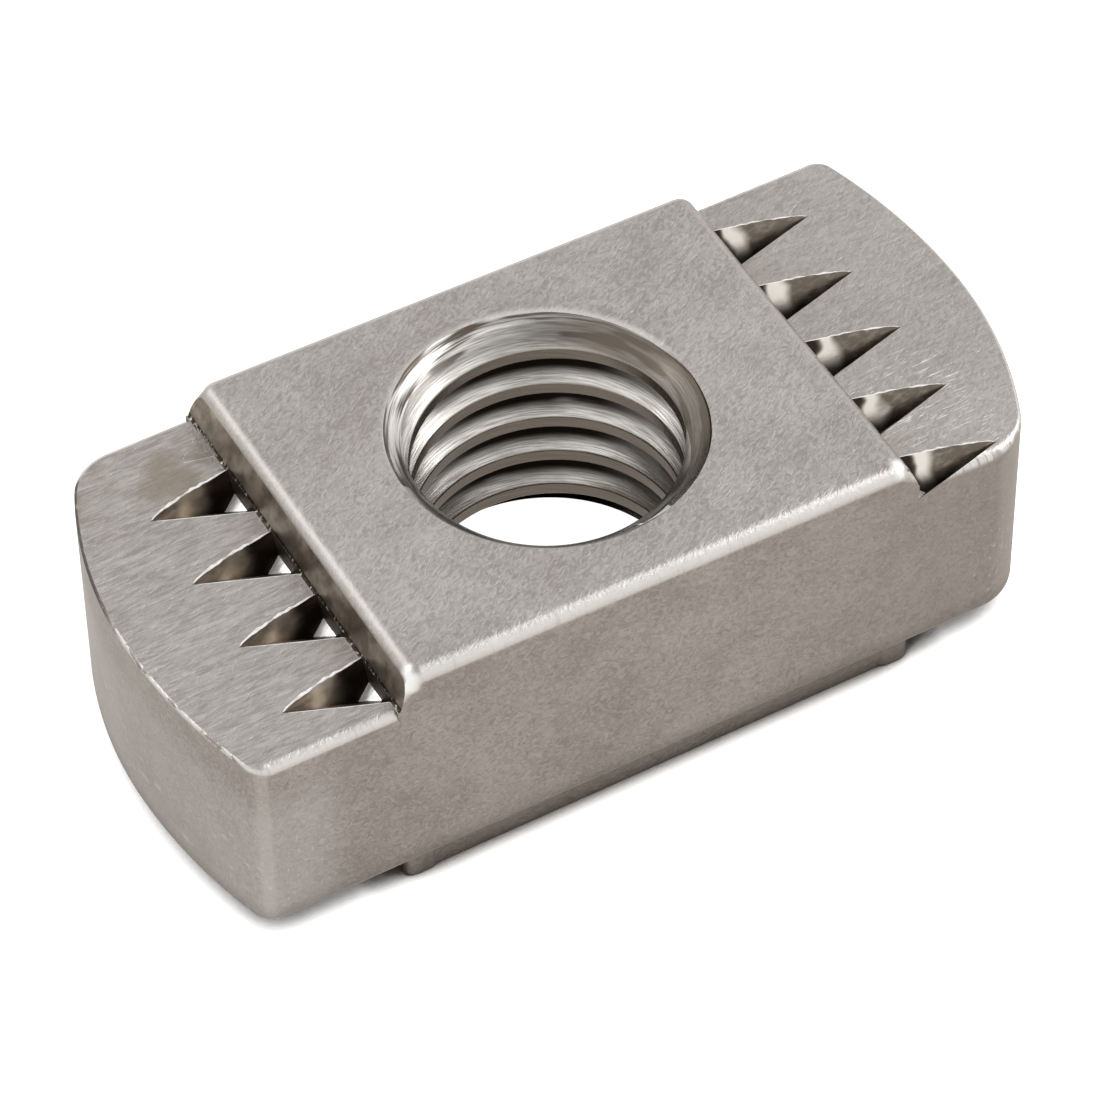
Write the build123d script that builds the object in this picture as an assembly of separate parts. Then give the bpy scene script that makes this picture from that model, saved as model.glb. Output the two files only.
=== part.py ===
from build123d import *
import os
from math import radians, sqrt, tan

# Channel nut for strut channel: one stainless piece, millimetres, +Z up.
# X runs along the nut, the origin is under the middle of its outline, z = 0 is the pad's underside.

# Outline of the nut: both ends are the same when turned by half a turn
nut_length = 35.3
nut_width = 16.4
arc_round = 16.9          # rounder half of each end
arc_flat = 22.7           # flatter half, which leads to the long corner
arc_meet = 0.5            # where the two halves meet, off the centre line
long_corner = 0.87
short_corner = 2.3

# Heights
pad_height = 1.0
plate_thickness = 8.66
block_height = 1.39       # over the middle of the hole
block_tilt = 1.0          # degrees by which the block's top falls towards the +X end

# Raised block that lies between the channel's lips
block_length = 20.7       # at the top of its end walls
block_offset = 0.14
wall_lean = 19.5          # degrees by which each end wall leans out on its way down
wall_foot = 0.15          # hollow round where an end wall meets its shoulder
brow_radius = 0.65        # round of the rolled-over top of each end wall
brow_depth = 0.4          # how far down the round reaches before it breaks off at the wall
block_edge = 0.6          # round along the block's two long top edges

# Rounds of the plate
shoulder_edge = 0.45
under_edge = 0.37

# Pad underneath, slightly waisted between its end lobes
pad_length = 21.5
pad_inset = 0.15          # lobes, in from the nut's long sides
pad_waist = 0.1           # sides between the lobes, further in again
lobe_length = 1.2
lobe_corner = 0.5
pad_edge = 0.15

# Hole, modelled as its cylindrical wall at the thread's minor diameter, with 90 degree countersinks
hole_diameter = 10.1
top_mouth = 11.7
under_mouth = 13.1
hole_offset = -0.11

# Punched notches that grip the channel's lips: valleys run along X, deepest at the end walls
notch_count = 5
notch_length = 3.65
notch_depth = 1.38        # where a valley would meet the wall
toe_length = 0.62         # short slope that rises again at the wall's foot
toe_rise = 0.35
right_pitch = 3.33
right_middle = -1.04      # valley of the middle notch, off the centre line
right_back = 1.08         # from a valley to its notch's edge at the wall, towards +Y
right_front = 0.97
left_pitch = 3.45
left_middle = 0.76
left_back = 0.81
left_front = 1.47
faint_length = 1.3        # the last notch of the -X row was barely struck
faint_depth = 0.12
faint_place = 6.2
faint_back = 1.1
faint_front = 0.3

# Places that follow from the sizes above
half_length = nut_length / 2
half_width = nut_width / 2
plate_top = pad_height + plate_thickness
overall_height = plate_top + block_height
hole_radius = hole_diameter / 2


def end_reach(radius, rise):
    # along X from the middle to an end arc, rise off the point where its halves meet
    return half_length - radius + sqrt(radius**2 - rise**2)


def outline():
    # the nut seen from above, corners still sharp
    near = end_reach(arc_round, half_width + arc_meet)
    far = end_reach(arc_flat, half_width - arc_meet)
    end = [(-near, half_width), (-half_length, -arc_meet), (-far, -half_width)]
    end += [(-x, -y) for x, y in end]
    with BuildSketch() as face:
        with BuildLine():
            for first in (0, 3):
                RadiusArc(end[first], end[first + 1], -arc_round)
                RadiusArc(end[first + 1], end[first + 2], -arc_flat)
                Line(end[first + 2], end[(first + 3) % 6])
        make_face()
    return face.sketch


def end_wall(end):
    # where the top, the round below it and the end wall meet, and the wall's foot, seen from the side
    run = sqrt(brow_radius**2 - (brow_radius - brow_depth) ** 2)
    top = Vector(end * (block_length / 2 - run), 0).rotate(Axis.Z, -block_tilt)
    crisp = Vector(end * block_length / 2, -brow_depth).rotate(Axis.Z, -block_tilt)
    lean = tan(radians(wall_lean)) * (crisp.Y + block_height)
    return top, crisp, Vector(crisp.X + end * lean, -block_height)


def block_profile():
    # the block seen from the side: sloping top, end walls with hollow feet, then down into the plate
    reach = wall_foot * tan(radians(90 - wall_lean) / 2)
    bottom = -block_height - 2 * shoulder_edge
    lines = []
    for end in (-1, 1):
        top, crisp, foot = end_wall(end)
        wall = foot + (crisp - foot).normalized() * reach
        floor = foot + Vector(end * reach, 0)
        lines += [Line((0, 0), top), RadiusArc(top, crisp, end * brow_radius), Line(crisp, wall)]
        lines += [RadiusArc(wall, floor, -end * wall_foot), Polyline(floor, (floor.X, bottom), (0, bottom))]
    return Plane.XZ * make_face(lines)


def corner_edges(solid, sign):
    # upright edges at the plate's corners where X and Y have equal (1) or opposite (-1) signs
    upright = solid.edges().filter_by(Axis.Z)
    return [e for e in upright if e.center().X * e.center().Y * sign > half_width**2]


def level_edges(solid, height):
    return solid.edges().filter_by_position(Axis.Z, height - 0.001, height + 0.001)


def make_pad():
    # waisted between two lobes, its upright corners and lower edge rounded
    side = nut_width - 2 * pad_inset
    shape = Rectangle(pad_length, side - 2 * pad_waist)
    for end in (-1, 1):
        lobe = RectangleRounded(lobe_length, side, lobe_corner)
        shape += Pos(end * (pad_length - lobe_length) / 2, 0) * lobe
    solid = extrude(shape, pad_height + under_edge)
    return Pos(block_offset, 0) * fillet(level_edges(solid, 0), pad_edge)


def make_hole():
    # straight wall, opened out at both mouths by 45 degree cones that run on past the metal
    tool = Pos(0, 0, overall_height / 2) * Cylinder(hole_radius, overall_height)
    for mouth, place in ((top_mouth, Pos(0, 0, overall_height)), (under_mouth, Rot(180, 0, 0))):
        depth = mouth / 2 - hole_radius
        tool += place * Cone(hole_radius, mouth / 2 + depth, 2 * depth)
    return Pos(hole_offset, 0) * tool


def make_notch(reach, back, front, depth):
    # a pyramid on its side, base against the end wall, less the toe that rises to the wall's foot
    grow = 1.4            # drawn larger about its deepest point, to stand clear of the shoulder
    deep = Vector(0, 0, -depth)
    rim = [Vector(0, -front, 0), Vector(0, back, 0), Vector(reach, 0, 0)]
    near, far, tip = [deep + (corner - deep) * grow for corner in rim]
    sides = [(deep, near, far), (deep, tip, near), (deep, far, tip), (near, tip, far)]
    pyramid = Solid(Shell([Face(Wire.make_polygon(side)) for side in sides]))
    toe = toe_length * reach / notch_length
    rise = toe_rise * depth / notch_depth
    floor = depth * (1 - toe / reach)
    slope = Polyline((toe, -floor), (0, rise - floor), (0, -depth), (toe, -depth), close=True)
    wedge = extrude(Plane.XZ * make_face(slope), back + front, both=True)
    return pyramid - wedge


# Plate and block are one forging: corners first, then the edges, then the block, the pad and the hole
plate = extrude(Pos(0, 0, pad_height) * outline(), plate_thickness)
plate = fillet(corner_edges(plate, 1), long_corner)
plate = fillet(corner_edges(plate, -1), short_corner)
plate = fillet(level_edges(plate, plate_top), shoulder_edge)
plate = fillet(level_edges(plate, pad_height), under_edge)
block = extrude(block_profile(), half_width, both=True)
long_edges = [edge for side in block.faces().filter_by(Axis.Y) for edge in side.edges().sort_by(Axis.Z)[-4:]]
block = fillet(long_edges, block_edge)
body = plate + Pos(block_offset, 0, overall_height) * block + make_pad() - make_hole()

# Punched rows: the first notch of the +X row runs off the front edge
right = make_notch(notch_length, right_back, right_front, notch_depth)
left = Rot(0, 0, 180) * make_notch(notch_length, left_front, left_back, notch_depth)
faint = Rot(0, 0, 180) * make_notch(faint_length, faint_front, faint_back, faint_depth)
foot_left, foot_right = [block_offset + end_wall(end)[2].X for end in (-1, 1)]
for step in range(notch_count):
    row = step - (notch_count - 1) / 2
    body -= Pos(foot_right, right_middle + row * right_pitch, plate_top) * right
    if step < notch_count - 1:
        body -= Pos(foot_left, left_middle + row * left_pitch, plate_top) * left
body -= Pos(foot_left, faint_place, plate_top) * faint

os.makedirs("parts", exist_ok=True)
export_step(body, "parts/channel_nut.step")
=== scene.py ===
import math
import random

import bmesh
import bpy
from mathutils import Matrix, Vector


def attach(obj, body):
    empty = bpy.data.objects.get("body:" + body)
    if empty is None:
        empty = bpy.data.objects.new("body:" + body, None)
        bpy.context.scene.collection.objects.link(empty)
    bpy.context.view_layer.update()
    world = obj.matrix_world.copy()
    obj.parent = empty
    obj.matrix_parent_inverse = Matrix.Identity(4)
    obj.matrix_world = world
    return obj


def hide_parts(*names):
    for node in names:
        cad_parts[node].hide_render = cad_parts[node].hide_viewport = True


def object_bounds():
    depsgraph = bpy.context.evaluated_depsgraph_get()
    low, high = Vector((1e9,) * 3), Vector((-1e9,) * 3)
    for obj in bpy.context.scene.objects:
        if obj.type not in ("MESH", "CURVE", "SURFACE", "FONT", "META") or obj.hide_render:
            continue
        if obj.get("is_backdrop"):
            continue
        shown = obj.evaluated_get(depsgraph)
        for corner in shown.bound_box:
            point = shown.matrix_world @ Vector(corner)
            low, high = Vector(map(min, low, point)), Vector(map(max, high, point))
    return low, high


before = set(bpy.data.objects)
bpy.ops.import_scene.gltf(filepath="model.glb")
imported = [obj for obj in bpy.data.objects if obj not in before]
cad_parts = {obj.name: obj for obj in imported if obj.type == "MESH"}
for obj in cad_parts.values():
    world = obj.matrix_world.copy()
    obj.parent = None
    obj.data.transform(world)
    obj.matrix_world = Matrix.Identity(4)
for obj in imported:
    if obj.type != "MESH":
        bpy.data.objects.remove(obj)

# Sizes are written in millimetres and degrees; what is built from them is in metres.
mm = 0.001
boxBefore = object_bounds()
print("channel nut: CAD frame loaded")


def linear(hexColour):
    # sRGB hex to the linear colour that shaders want
    parts = [int(hexColour[i:i + 2], 16) / 255 for i in (1, 3, 5)]
    return [c / 12.92 if c <= 0.04045 else ((c + 0.055) / 1.055) ** 2.4 for c in parts] + [1.0]


def addNode(tree, kind, settings={}, links={}, out=None):
    # links: input name or number -> a value or another node's output; gives back the output asked for
    node = tree.nodes.new(kind)
    for name, value in settings.items():
        setattr(node, name, value)
    for name, value in links.items():
        socket = node.inputs[name] if isinstance(name, int) else next(
            s for s in node.inputs if s.name == name and s.enabled)
        if isinstance(value, bpy.types.NodeSocket):
            tree.links.new(value, socket)
        else:
            socket.default_value = value
    return node.outputs[out] if out is not None else next((s for s in node.outputs if s.enabled), None)


def newMaterial(name):
    material = bpy.data.materials.new(name)
    material.use_nodes = True
    material.node_tree.nodes.clear()
    return material


materialNames = ["tumbledStainless", "shearedWall", "punchedFlank", "raisedBurr", "tappedThread", "countersink"]
materials = {name: newMaterial(name) for name in materialNames}

nut = {
    "length": 35.3, "width": 16.4,
    "arcRound": 16.9, "arcFlat": 22.7, "arcMeet": 0.5,
    "longCorner": 0.87, "shortCorner": 2.3,
    "padHeight": 1.0, "plateThickness": 8.66, "blockHeight": 1.39, "blockTilt": 1.0,
    "sideEdge": 0.45, "endEdge": 0.17, "underEdge": 0.37,
    "holeOffset": -0.11,
}
plateTop = nut["padHeight"] + nut["plateThickness"]
overallHeight = plateTop + nut["blockHeight"]
halfWidth = nut["width"] / 2


def arcPoints(centre, radius, first, last, steps):
    angles = [math.radians(first + (last - first) * i / steps) for i in range(steps + 1)]
    return [(centre[0] + radius * math.cos(a), centre[1] + radius * math.sin(a)) for a in angles]


def heading(origin, point):
    return math.degrees(math.atan2(point[1] - origin[1], point[0] - origin[0])) % 360


def outline():
    # (x, y, radius of the top edge there): soft along the sides, crisp round the ends;
    # one end, from the short corner round to the long one, then the same again turned by half a turn
    half, meet = nut["length"] / 2, -nut["arcMeet"]
    soft, crisp = nut["sideEdge"], nut["endEdge"]
    shortSteps, roundSteps, flatSteps, longSteps = 16, 28, 24, 12
    roundCentre, flatCentre = (-half + nut["arcRound"], meet), (-half + nut["arcFlat"], meet)
    corner = nut["shortCorner"]
    reach = math.sqrt((nut["arcRound"] - corner) ** 2 - (halfWidth - corner - meet) ** 2)
    short = (roundCentre[0] - reach, halfWidth - corner)
    corner = nut["longCorner"]
    reach = math.sqrt((nut["arcFlat"] - corner) ** 2 - (halfWidth - corner + meet) ** 2)
    long = (flatCentre[0] - reach, -halfWidth + corner)
    shortEnd, longStart = heading(roundCentre, short), heading(flatCentre, long)
    shortArc = arcPoints(short, nut["shortCorner"], 90, shortEnd, shortSteps)
    roundArc = arcPoints(roundCentre, nut["arcRound"], shortEnd, 180, roundSteps)
    flatArc = arcPoints(flatCentre, nut["arcFlat"], 180, longStart, flatSteps)
    longArc = arcPoints(long, nut["longCorner"], longStart, 270, longSteps)
    points = [(x, y, soft + (crisp - soft) * i / shortSteps) for i, (x, y) in enumerate(shortArc)]
    points += [(x, y, crisp) for x, y in roundArc[1:] + flatArc[1:-1]]
    points += [(x, y, crisp + (soft - crisp) * i / longSteps) for i, (x, y) in enumerate(longArc)]
    return points + [(-x, -y, edge) for x, y, edge in points]


def inset(points, distances):
    # each point moved inwards, square to the outline
    moved = []
    for i, (x, y) in enumerate(points):
        before, after = Vector(points[i - 1]), Vector(points[(i + 1) % len(points)])
        along = (after - before).normalized()
        moved.append((x - along.y * distances[i], y + along.x * distances[i]))
    return moved


def stack(rings):
    # a solid skinned over rings of points, with as many points in each, and capped at both ends
    mesh = bmesh.new()
    levels = [[mesh.verts.new(Vector(point) * mm) for point in ring] for ring in rings]
    count = len(levels[0])
    for low, high in zip(levels, levels[1:]):
        for i in range(count):
            j = (i + 1) % count
            mesh.faces.new((low[i], low[j], high[j], high[i]))
    mesh.faces.new(levels[0])
    mesh.faces.new(levels[-1])
    bmesh.ops.recalc_face_normals(mesh, faces=mesh.faces)
    return mesh


def toObject(mesh, name):
    data = bpy.data.meshes.new(name)
    mesh.to_mesh(data)
    mesh.free()
    obj = bpy.data.objects.new(name, data)
    bpy.context.scene.collection.objects.link(obj)
    for material in materials.values():
        data.materials.append(material)
    return obj


def bake(obj):
    # modifiers become plain mesh
    graph = bpy.context.evaluated_depsgraph_get()
    graph.update()
    data = bpy.data.meshes.new_from_object(obj.evaluated_get(graph))
    obj.modifiers.clear()
    obj.data = data


def combine(obj, other, operation):
    modifier = obj.modifiers.new(operation.lower(), "BOOLEAN")
    modifier.operation = operation
    modifier.solver = "EXACT"
    modifier.object = other
    bake(obj)
    bpy.data.objects.remove(other)


def makePlate():
    # a stack of rings: up round the under edge, up the side, round the top edge
    points = outline()
    plan, edges = [(x, y) for x, y, edge in points], [edge for x, y, edge in points]
    under, rings, steps = nut["underEdge"], [], 6
    for i in range(steps + 1):
        angle = math.radians(90 * i / steps)
        level = nut["padHeight"] + under * (1 - math.cos(angle))
        rings.append([(x, y, level) for x, y in inset(plan, [under * (1 - math.sin(angle))] * len(plan))])
    for i in range(steps + 1):
        angle = math.radians(90 * i / steps)
        flat = inset(plan, [edge * (1 - math.cos(angle)) for edge in edges])
        rings.append([(x, y, plateTop - edge * (1 - math.sin(angle))) for (x, y), edge in zip(flat, edges)])
    return toObject(stack(rings), "plate")


block = {
    "length": 20.7, "offset": 0.14, "wallLean": 19.5, "wallFoot": 0.15,
    "browRadius": 0.65, "browDepth": 0.4, "edgeRound": 0.6, "edgeSteps": 7,
    "topBand": 0.8,          # the long edges this close to the top are the rounded ones
    "shearedFrom": 0.42,     # the end walls are sheared metal from this far under the top
}


def endWall(end):
    # side view of one end wall, from the top's edge down to its foot, about the block's top centre
    half, radius, depth = block["length"] / 2, block["browRadius"], block["browDepth"]
    turn = Matrix.Rotation(math.radians(-nut["blockTilt"]), 2)
    run = math.sqrt(radius ** 2 - (radius - depth) ** 2)
    brow, steps = [], 6
    for i in range(steps + 1):
        angle = math.asin(run / radius) * i / steps
        brow.append(turn @ Vector((end * (half - run + radius * math.sin(angle)), radius * (math.cos(angle) - 1))))
    crisp = brow[-1]
    lean = math.tan(math.radians(block["wallLean"]))
    foot = Vector((crisp.x + end * lean * (crisp.y + nut["blockHeight"]), -nut["blockHeight"]))
    return brow, foot


def makeBlock():
    # its side view, run through from one long side to the other
    points = []
    for end in (-1, 1):
        brow, foot = endWall(end)
        # hollow round at the foot, from the wall's line to the shoulder's
        lean, radius = block["wallLean"], block["wallFoot"]
        centre = foot + Vector((end * radius * math.tan(math.radians(90 - lean) / 2), radius))
        hollow, steps = [], 5
        for i in range(steps + 1):
            angle = math.radians(180 + lean + (90 - lean) * i / steps)
            hollow.append(centre + Vector((end * math.cos(angle), math.sin(angle))) * radius)
        side = brow + hollow + [hollow[-1] - Vector((0, 2 * nut["sideEdge"]))]
        points += side if end > 0 else list(reversed(side))
    sideView = [(p.x + block["offset"], p.y + overallHeight) for p in points]
    mesh = stack([[(x, y, z) for x, z in sideView] for y in (-halfWidth, halfWidth)])
    lowest = (overallHeight - block["topBand"]) * mm
    edges = [edge for edge in mesh.edges if abs(edge.verts[0].co.y - edge.verts[1].co.y) < 1e-7
             and min(v.co.z for v in edge.verts) > lowest]
    bmesh.ops.bevel(mesh, geom=edges, offset=block["edgeRound"] * mm, offset_type="OFFSET",
                    segments=block["edgeSteps"], profile=0.5, affect="EDGES", clamp_overlap=False)
    obj = toObject(mesh, "block")
    for polygon in obj.data.polygons:
        # end walls below the crisp line, with their hollow feet
        low = polygon.center.z < (overallHeight - block["shearedFrom"]) * mm
        if low and abs(polygon.normal.x) > 0.2 and abs(polygon.normal.y) < 0.2:
            polygon.material_index = materialNames.index("shearedWall")
    return obj


pad = {
    "length": 21.5, "inset": 0.15, "waist": 0.1, "edge": 0.15,
    "lobeLength": 1.2, "lobeCorner": 0.5, "lobeEase": 0.12,
}


def makePad():
    # waisted between two lobes, its lower edge rounded; it runs up into the plate
    side = halfWidth - pad["inset"]
    end, corner = pad["length"] / 2, pad["lobeCorner"]
    lobe, ease, waist = end - pad["lobeLength"], pad["lobeEase"], pad["waist"]
    quarter = arcPoints((end - corner, side - corner), corner, 0, 90, 6)
    quarter += [(lobe + ease, side), (lobe, side - 0.6 * waist), (lobe - ease, side - waist)]
    points = quarter + [(-x, y) for x, y in reversed(quarter)]
    points += [(-x, -y) for x, y in points]
    rings, steps = [], 4
    for i in range(steps + 1):
        angle = math.radians(90 * i / steps)
        flat = inset(points, [pad["edge"] * (1 - math.sin(angle))] * len(points))
        rings.append([(x + block["offset"], y, pad["edge"] * (1 - math.cos(angle))) for x, y in flat])
    rings.append([(x, y, nut["padHeight"] + nut["underEdge"]) for x, y, z in rings[-1]])
    return toObject(stack(rings), "pad")


body = makePlate()
combine(body, makeBlock(), "UNION")
combine(body, makePad(), "UNION")
body.name = "channelNutBody"
print("channel nut: plate, block and pad", len(body.data.polygons), "faces")


def newTree(name, inputs):
    tree = bpy.data.node_groups.new(name, "GeometryNodeTree")
    for label, kind in inputs:
        tree.interface.new_socket(name=label, in_out="INPUT", socket_type="NodeSocket" + kind)
    tree.interface.new_socket(name="Geometry", in_out="OUTPUT", socket_type="NodeSocketGeometry")
    return tree, tree.nodes.new("NodeGroupInput").outputs


def finishTree(tree, geometry, material):
    real = addNode(tree, "GeometryNodeRealizeInstances", links={"Geometry": geometry})
    dressed = addNode(tree, "GeometryNodeSetMaterial", links={"Geometry": real, "Material": material})
    addNode(tree, "NodeGroupOutput", links={0: dressed})


def growFrom(tree, name, values):
    # an object whose mesh comes from the tree with these inputs
    obj = bpy.data.objects.new(name, bpy.data.meshes.new(name))
    bpy.context.scene.collection.objects.link(obj)
    modifier = obj.modifiers.new(name, "NODES")
    modifier.node_group = tree
    for item in tree.interface.items_tree:
        if item.in_out == "INPUT":
            modifier[item.identifier] = values[item.name]
    bake(obj)
    return obj


thread = {
    "minorRadius": 5.05, "majorRadius": 6.0, "pitch": 1.865, "crestFlat": 0.58, "crestChamfer": 0.05,
    "rootRound": 0.09, "turns": 8, "stepsPerTurn": 96,
    "crestHeight": -1.51, "crestAzimuth": 62.0,      # middle of a crest, from the block's top, at that azimuth
    "turnsBelow": 7,                                 # the spiral starts this many turns under that crest
    "topMouth": 11.7, "underMouth": 13.1, "holeSteps": 144,
}


def makeBore():
    # the tapping drill's hole with its two countersinks, stacked up about the hole's axis
    minor, above = thread["minorRadius"], overallHeight
    top, under = thread["topMouth"] / 2, thread["underMouth"] / 2
    past, steps = 2, thread["holeSteps"]      # the cones run on past the metal
    section = [(under + past, -past), (minor, under - minor), (minor, above - (top - minor)),
               (top + past, above + past)]
    rings = [[(x, y, height)
              for x, y in arcPoints((nut["holeOffset"], 0), radius, 0, 360 - 360 / steps, steps - 1)]
             for radius, height in section]
    obj = toObject(stack(rings), "bore")
    cone, wall = materialNames.index("countersink"), materialNames.index("tappedThread")
    for polygon in obj.data.polygons:
        polygon.material_index = cone if 0.3 < abs(polygon.normal.z) < 0.9 else wall
    return obj


def grooveProfile():
    # section of the thread groove, as a closed curve: x is out from the axis, y is up
    minor, major = thread["minorRadius"], thread["majorRadius"]
    flare, slope = thread["crestChamfer"], math.tan(math.radians(30))
    opening = (thread["pitch"] - thread["crestFlat"]) / 2
    rootHalf, rootRound = opening - (major - minor) * slope, thread["rootRound"]
    inward, wider, crown = 0.25, 0.12, 0.02      # it runs on into the open hole; its root is slightly crowned
    half = [(minor - inward, opening + flare + wider),
            (minor, opening + flare), (minor + flare, opening - flare * slope),
            (major - rootRound, rootHalf + rootRound * slope), (major - crown, rootHalf * 0.5)]
    points = half + [(major, 0)] + [(x, -y) for x, y in reversed(half)]
    curve = bpy.data.curves.new("grooveProfile", "CURVE")
    curve.dimensions = "2D"
    spline = curve.splines.new("POLY")
    spline.points.add(len(points) - 1)
    for point, (x, y) in zip(spline.points, points):
        point.co = ((minor - x) * mm, y * mm, 0, 1)      # the sweep turns +x towards the axis
    spline.use_cyclic_u = True
    obj = bpy.data.objects.new("grooveProfile", curve)
    bpy.context.scene.collection.objects.link(obj)
    return obj


def threadTree():
    # a section swept up a spiral about the hole's axis
    tree, given = newTree("threadGroove", [
        ("Section", "Object"), ("Radius", "Float"), ("Pitch", "Float"), ("Turns", "Float"), ("Steps", "Int"),
        ("Start Angle", "Float"), ("Centre", "Vector"), ("Material", "Material")])
    height = addNode(tree, "ShaderNodeMath", {"operation": "MULTIPLY"}, {0: given["Pitch"], 1: given["Turns"]})
    spiral = addNode(tree, "GeometryNodeCurveSpiral", links={
        "Resolution": given["Steps"], "Rotations": given["Turns"], "Start Radius": given["Radius"],
        "End Radius": given["Radius"], "Height": height, "Reverse": False})
    angle = addNode(tree, "ShaderNodeCombineXYZ", links={"Z": given["Start Angle"]})
    placed = addNode(tree, "GeometryNodeTransform",
                     links={"Geometry": spiral, "Translation": given["Centre"], "Rotation": angle})
    level = addNode(tree, "GeometryNodeSetCurveNormal", {"mode": "Z_UP"}, {"Curve": placed})
    section = addNode(tree, "GeometryNodeObjectInfo", {"transform_space": "ORIGINAL"},
                      {"Object": given["Section"]}, out="Geometry")
    swept = addNode(tree, "GeometryNodeCurveToMesh",
                    links={"Curve": level, "Profile Curve": section, "Fill Caps": True})
    finishTree(tree, swept, given["Material"])
    return tree


combine(body, makeBore(), "DIFFERENCE")
section = grooveProfile()
# the groove's middle is half a pitch above a crest; the spiral starts under the nut and ends over it
grooveStart = overallHeight + thread["crestHeight"] + thread["pitch"] * (0.5 - thread["turnsBelow"])
groove = growFrom(threadTree(), "threadGroove", {
    "Section": section, "Radius": thread["minorRadius"] * mm, "Pitch": thread["pitch"] * mm,
    "Turns": float(thread["turns"]), "Steps": thread["stepsPerTurn"],
    "Start Angle": math.radians(thread["crestAzimuth"]),
    "Centre": (nut["holeOffset"] * mm, 0, grooveStart * mm), "Material": materials["tappedThread"]})
combine(body, groove, "DIFFERENCE")
bpy.data.objects.remove(section)
print("channel nut: hole and thread cut", len(body.data.polygons), "faces")


punch = {
    "length": 3.65, "depth": 1.38,           # of a full stroke
    "toeLength": 0.62, "toeRise": 0.35,
    "grow": 1.4,                             # drawn larger about its deepest point, to stand clear of the shoulder
    "unevenness": 0.03, "seed": 4,
}
# first: y of the first valley; back, front: from a valley to its notch's edges at the wall;
# farBurr, nearBurr: width and height of the metal raised along the back and the front edge
rows = {
    "right": {"end": 1, "count": 5, "pitch": 3.33, "first": -7.70, "back": 1.08, "front": 0.97,
              "length": punch["length"], "depth": punch["depth"], "farBurr": (0.28, 0.15), "nearBurr": None,
              "lining": "punchedFlank"},
    "left": {"end": -1, "count": 4, "pitch": 3.45, "first": -6.14, "back": 0.81, "front": 1.47,
             "length": punch["length"], "depth": punch["depth"], "farBurr": (0.34, 0.17),
             "nearBurr": (0.08, 0.03), "lining": "punchedFlank"},
    "faint": {"end": -1, "count": 1, "pitch": 0.0, "first": 6.2, "back": 1.1, "front": 0.3,
              "length": 1.3, "depth": 0.12, "farBurr": (0.05, 0.02), "nearBurr": (0.06, 0.03),
              "lining": "tumbledStainless"},
}


def notchCutter(row):
    # a pyramid on its side with its base against the end wall; the toe rises again at the wall's foot
    end, length, depth = row["end"], row["length"], row["depth"]
    toe, rise = punch["toeLength"] * length / punch["length"], punch["toeRise"] * depth / punch["depth"]
    deep = Vector((0, 0, -depth))
    rim = [deep + (Vector(corner) - deep) * punch["grow"]
           for corner in ((0, -row["front"], 0), (0, row["back"], 0), (end * length, 0, 0))]
    mesh = bmesh.new()
    verts = [mesh.verts.new(v * mm) for v in [deep] + rim]
    for face in ((0, 1, 2), (0, 3, 1), (0, 2, 3), (1, 3, 2)):
        mesh.faces.new([verts[i] for i in face])
    # cut away what lies under the toe's slope
    slope = math.atan2(rise, toe)
    cut = bmesh.ops.bisect_plane(mesh, geom=mesh.verts[:] + mesh.edges[:] + mesh.faces[:],
                                 plane_co=Vector((end * toe, 0, -depth * (1 - toe / length))) * mm,
                                 plane_no=Vector((end * math.sin(slope), 0, math.cos(slope))), clear_inner=True)
    bmesh.ops.contextual_create(mesh, geom=[e for e in cut["geom_cut"] if isinstance(e, bmesh.types.BMEdge)])
    bmesh.ops.recalc_face_normals(mesh, faces=mesh.faces)
    return mesh


burr = {
    "steps": 18, "seeds": {1: 7, -1: 11},
    "start": -0.03, "run": 1.02,             # from just inside the wall to the tip, in shares of that way
    "sink": 0.15,                            # how deep the ridge stands in the shoulder
    "root": 0.3, "leastRoot": 0.008,         # how far it reaches into the notch, at the wall and at the tip
    "crest": 0.02, "dip": 0.02,              # how wide its top is, how far its outer foot lies under the shoulder
    "tipDrop": 0.01,                         # at the tip it ends this far under the shoulder
    "lowest": 0.55, "narrowest": 0.7,        # least share of its height and its width, from point to point
}


def notchBurr(row, side):
    # metal pushed up by the punch: a ragged ridge along one edge of the notch, from the end wall to the tip
    width, height = row["farBurr"] if side > 0 else row["nearBurr"]
    base = Vector((0, row["back"] if side > 0 else -row["front"], 0))
    tip = Vector((row["end"] * row["length"], 0, 0))
    along = (tip - base).normalized()
    out = Vector((-along.y, along.x, 0))
    out = out if out.y * side > 0 else -out
    uneven = random.Random(burr["seeds"][side])
    rings, count = [], burr["steps"]
    for i in range(count + 1):
        # the ridge swells soon and dies away towards the tip
        t = burr["start"] + burr["run"] * i / count
        swell = math.sin(math.pi * (0.08 + 0.9 * i / count) ** 1.4) ** 0.6 if i < count else 0
        ridge = height * swell * uneven.uniform(burr["lowest"], 1.0) - burr["tipDrop"]
        reach = width * (0.25 + 0.75 * swell) * uneven.uniform(burr["narrowest"], 1.0)
        inner = burr["root"] * (1 - t) + burr["leastRoot"]      # the punch cuts this part off
        at = base + (tip - base) * t
        profile = ((-inner, -burr["sink"]), (-inner, ridge), (burr["crest"], ridge),
                   (reach, -burr["dip"]), (reach, -burr["sink"]))
        rings.append([at + out * across + Vector((0, 0, up)) for across, up in profile])
    return stack(rings)


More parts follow.
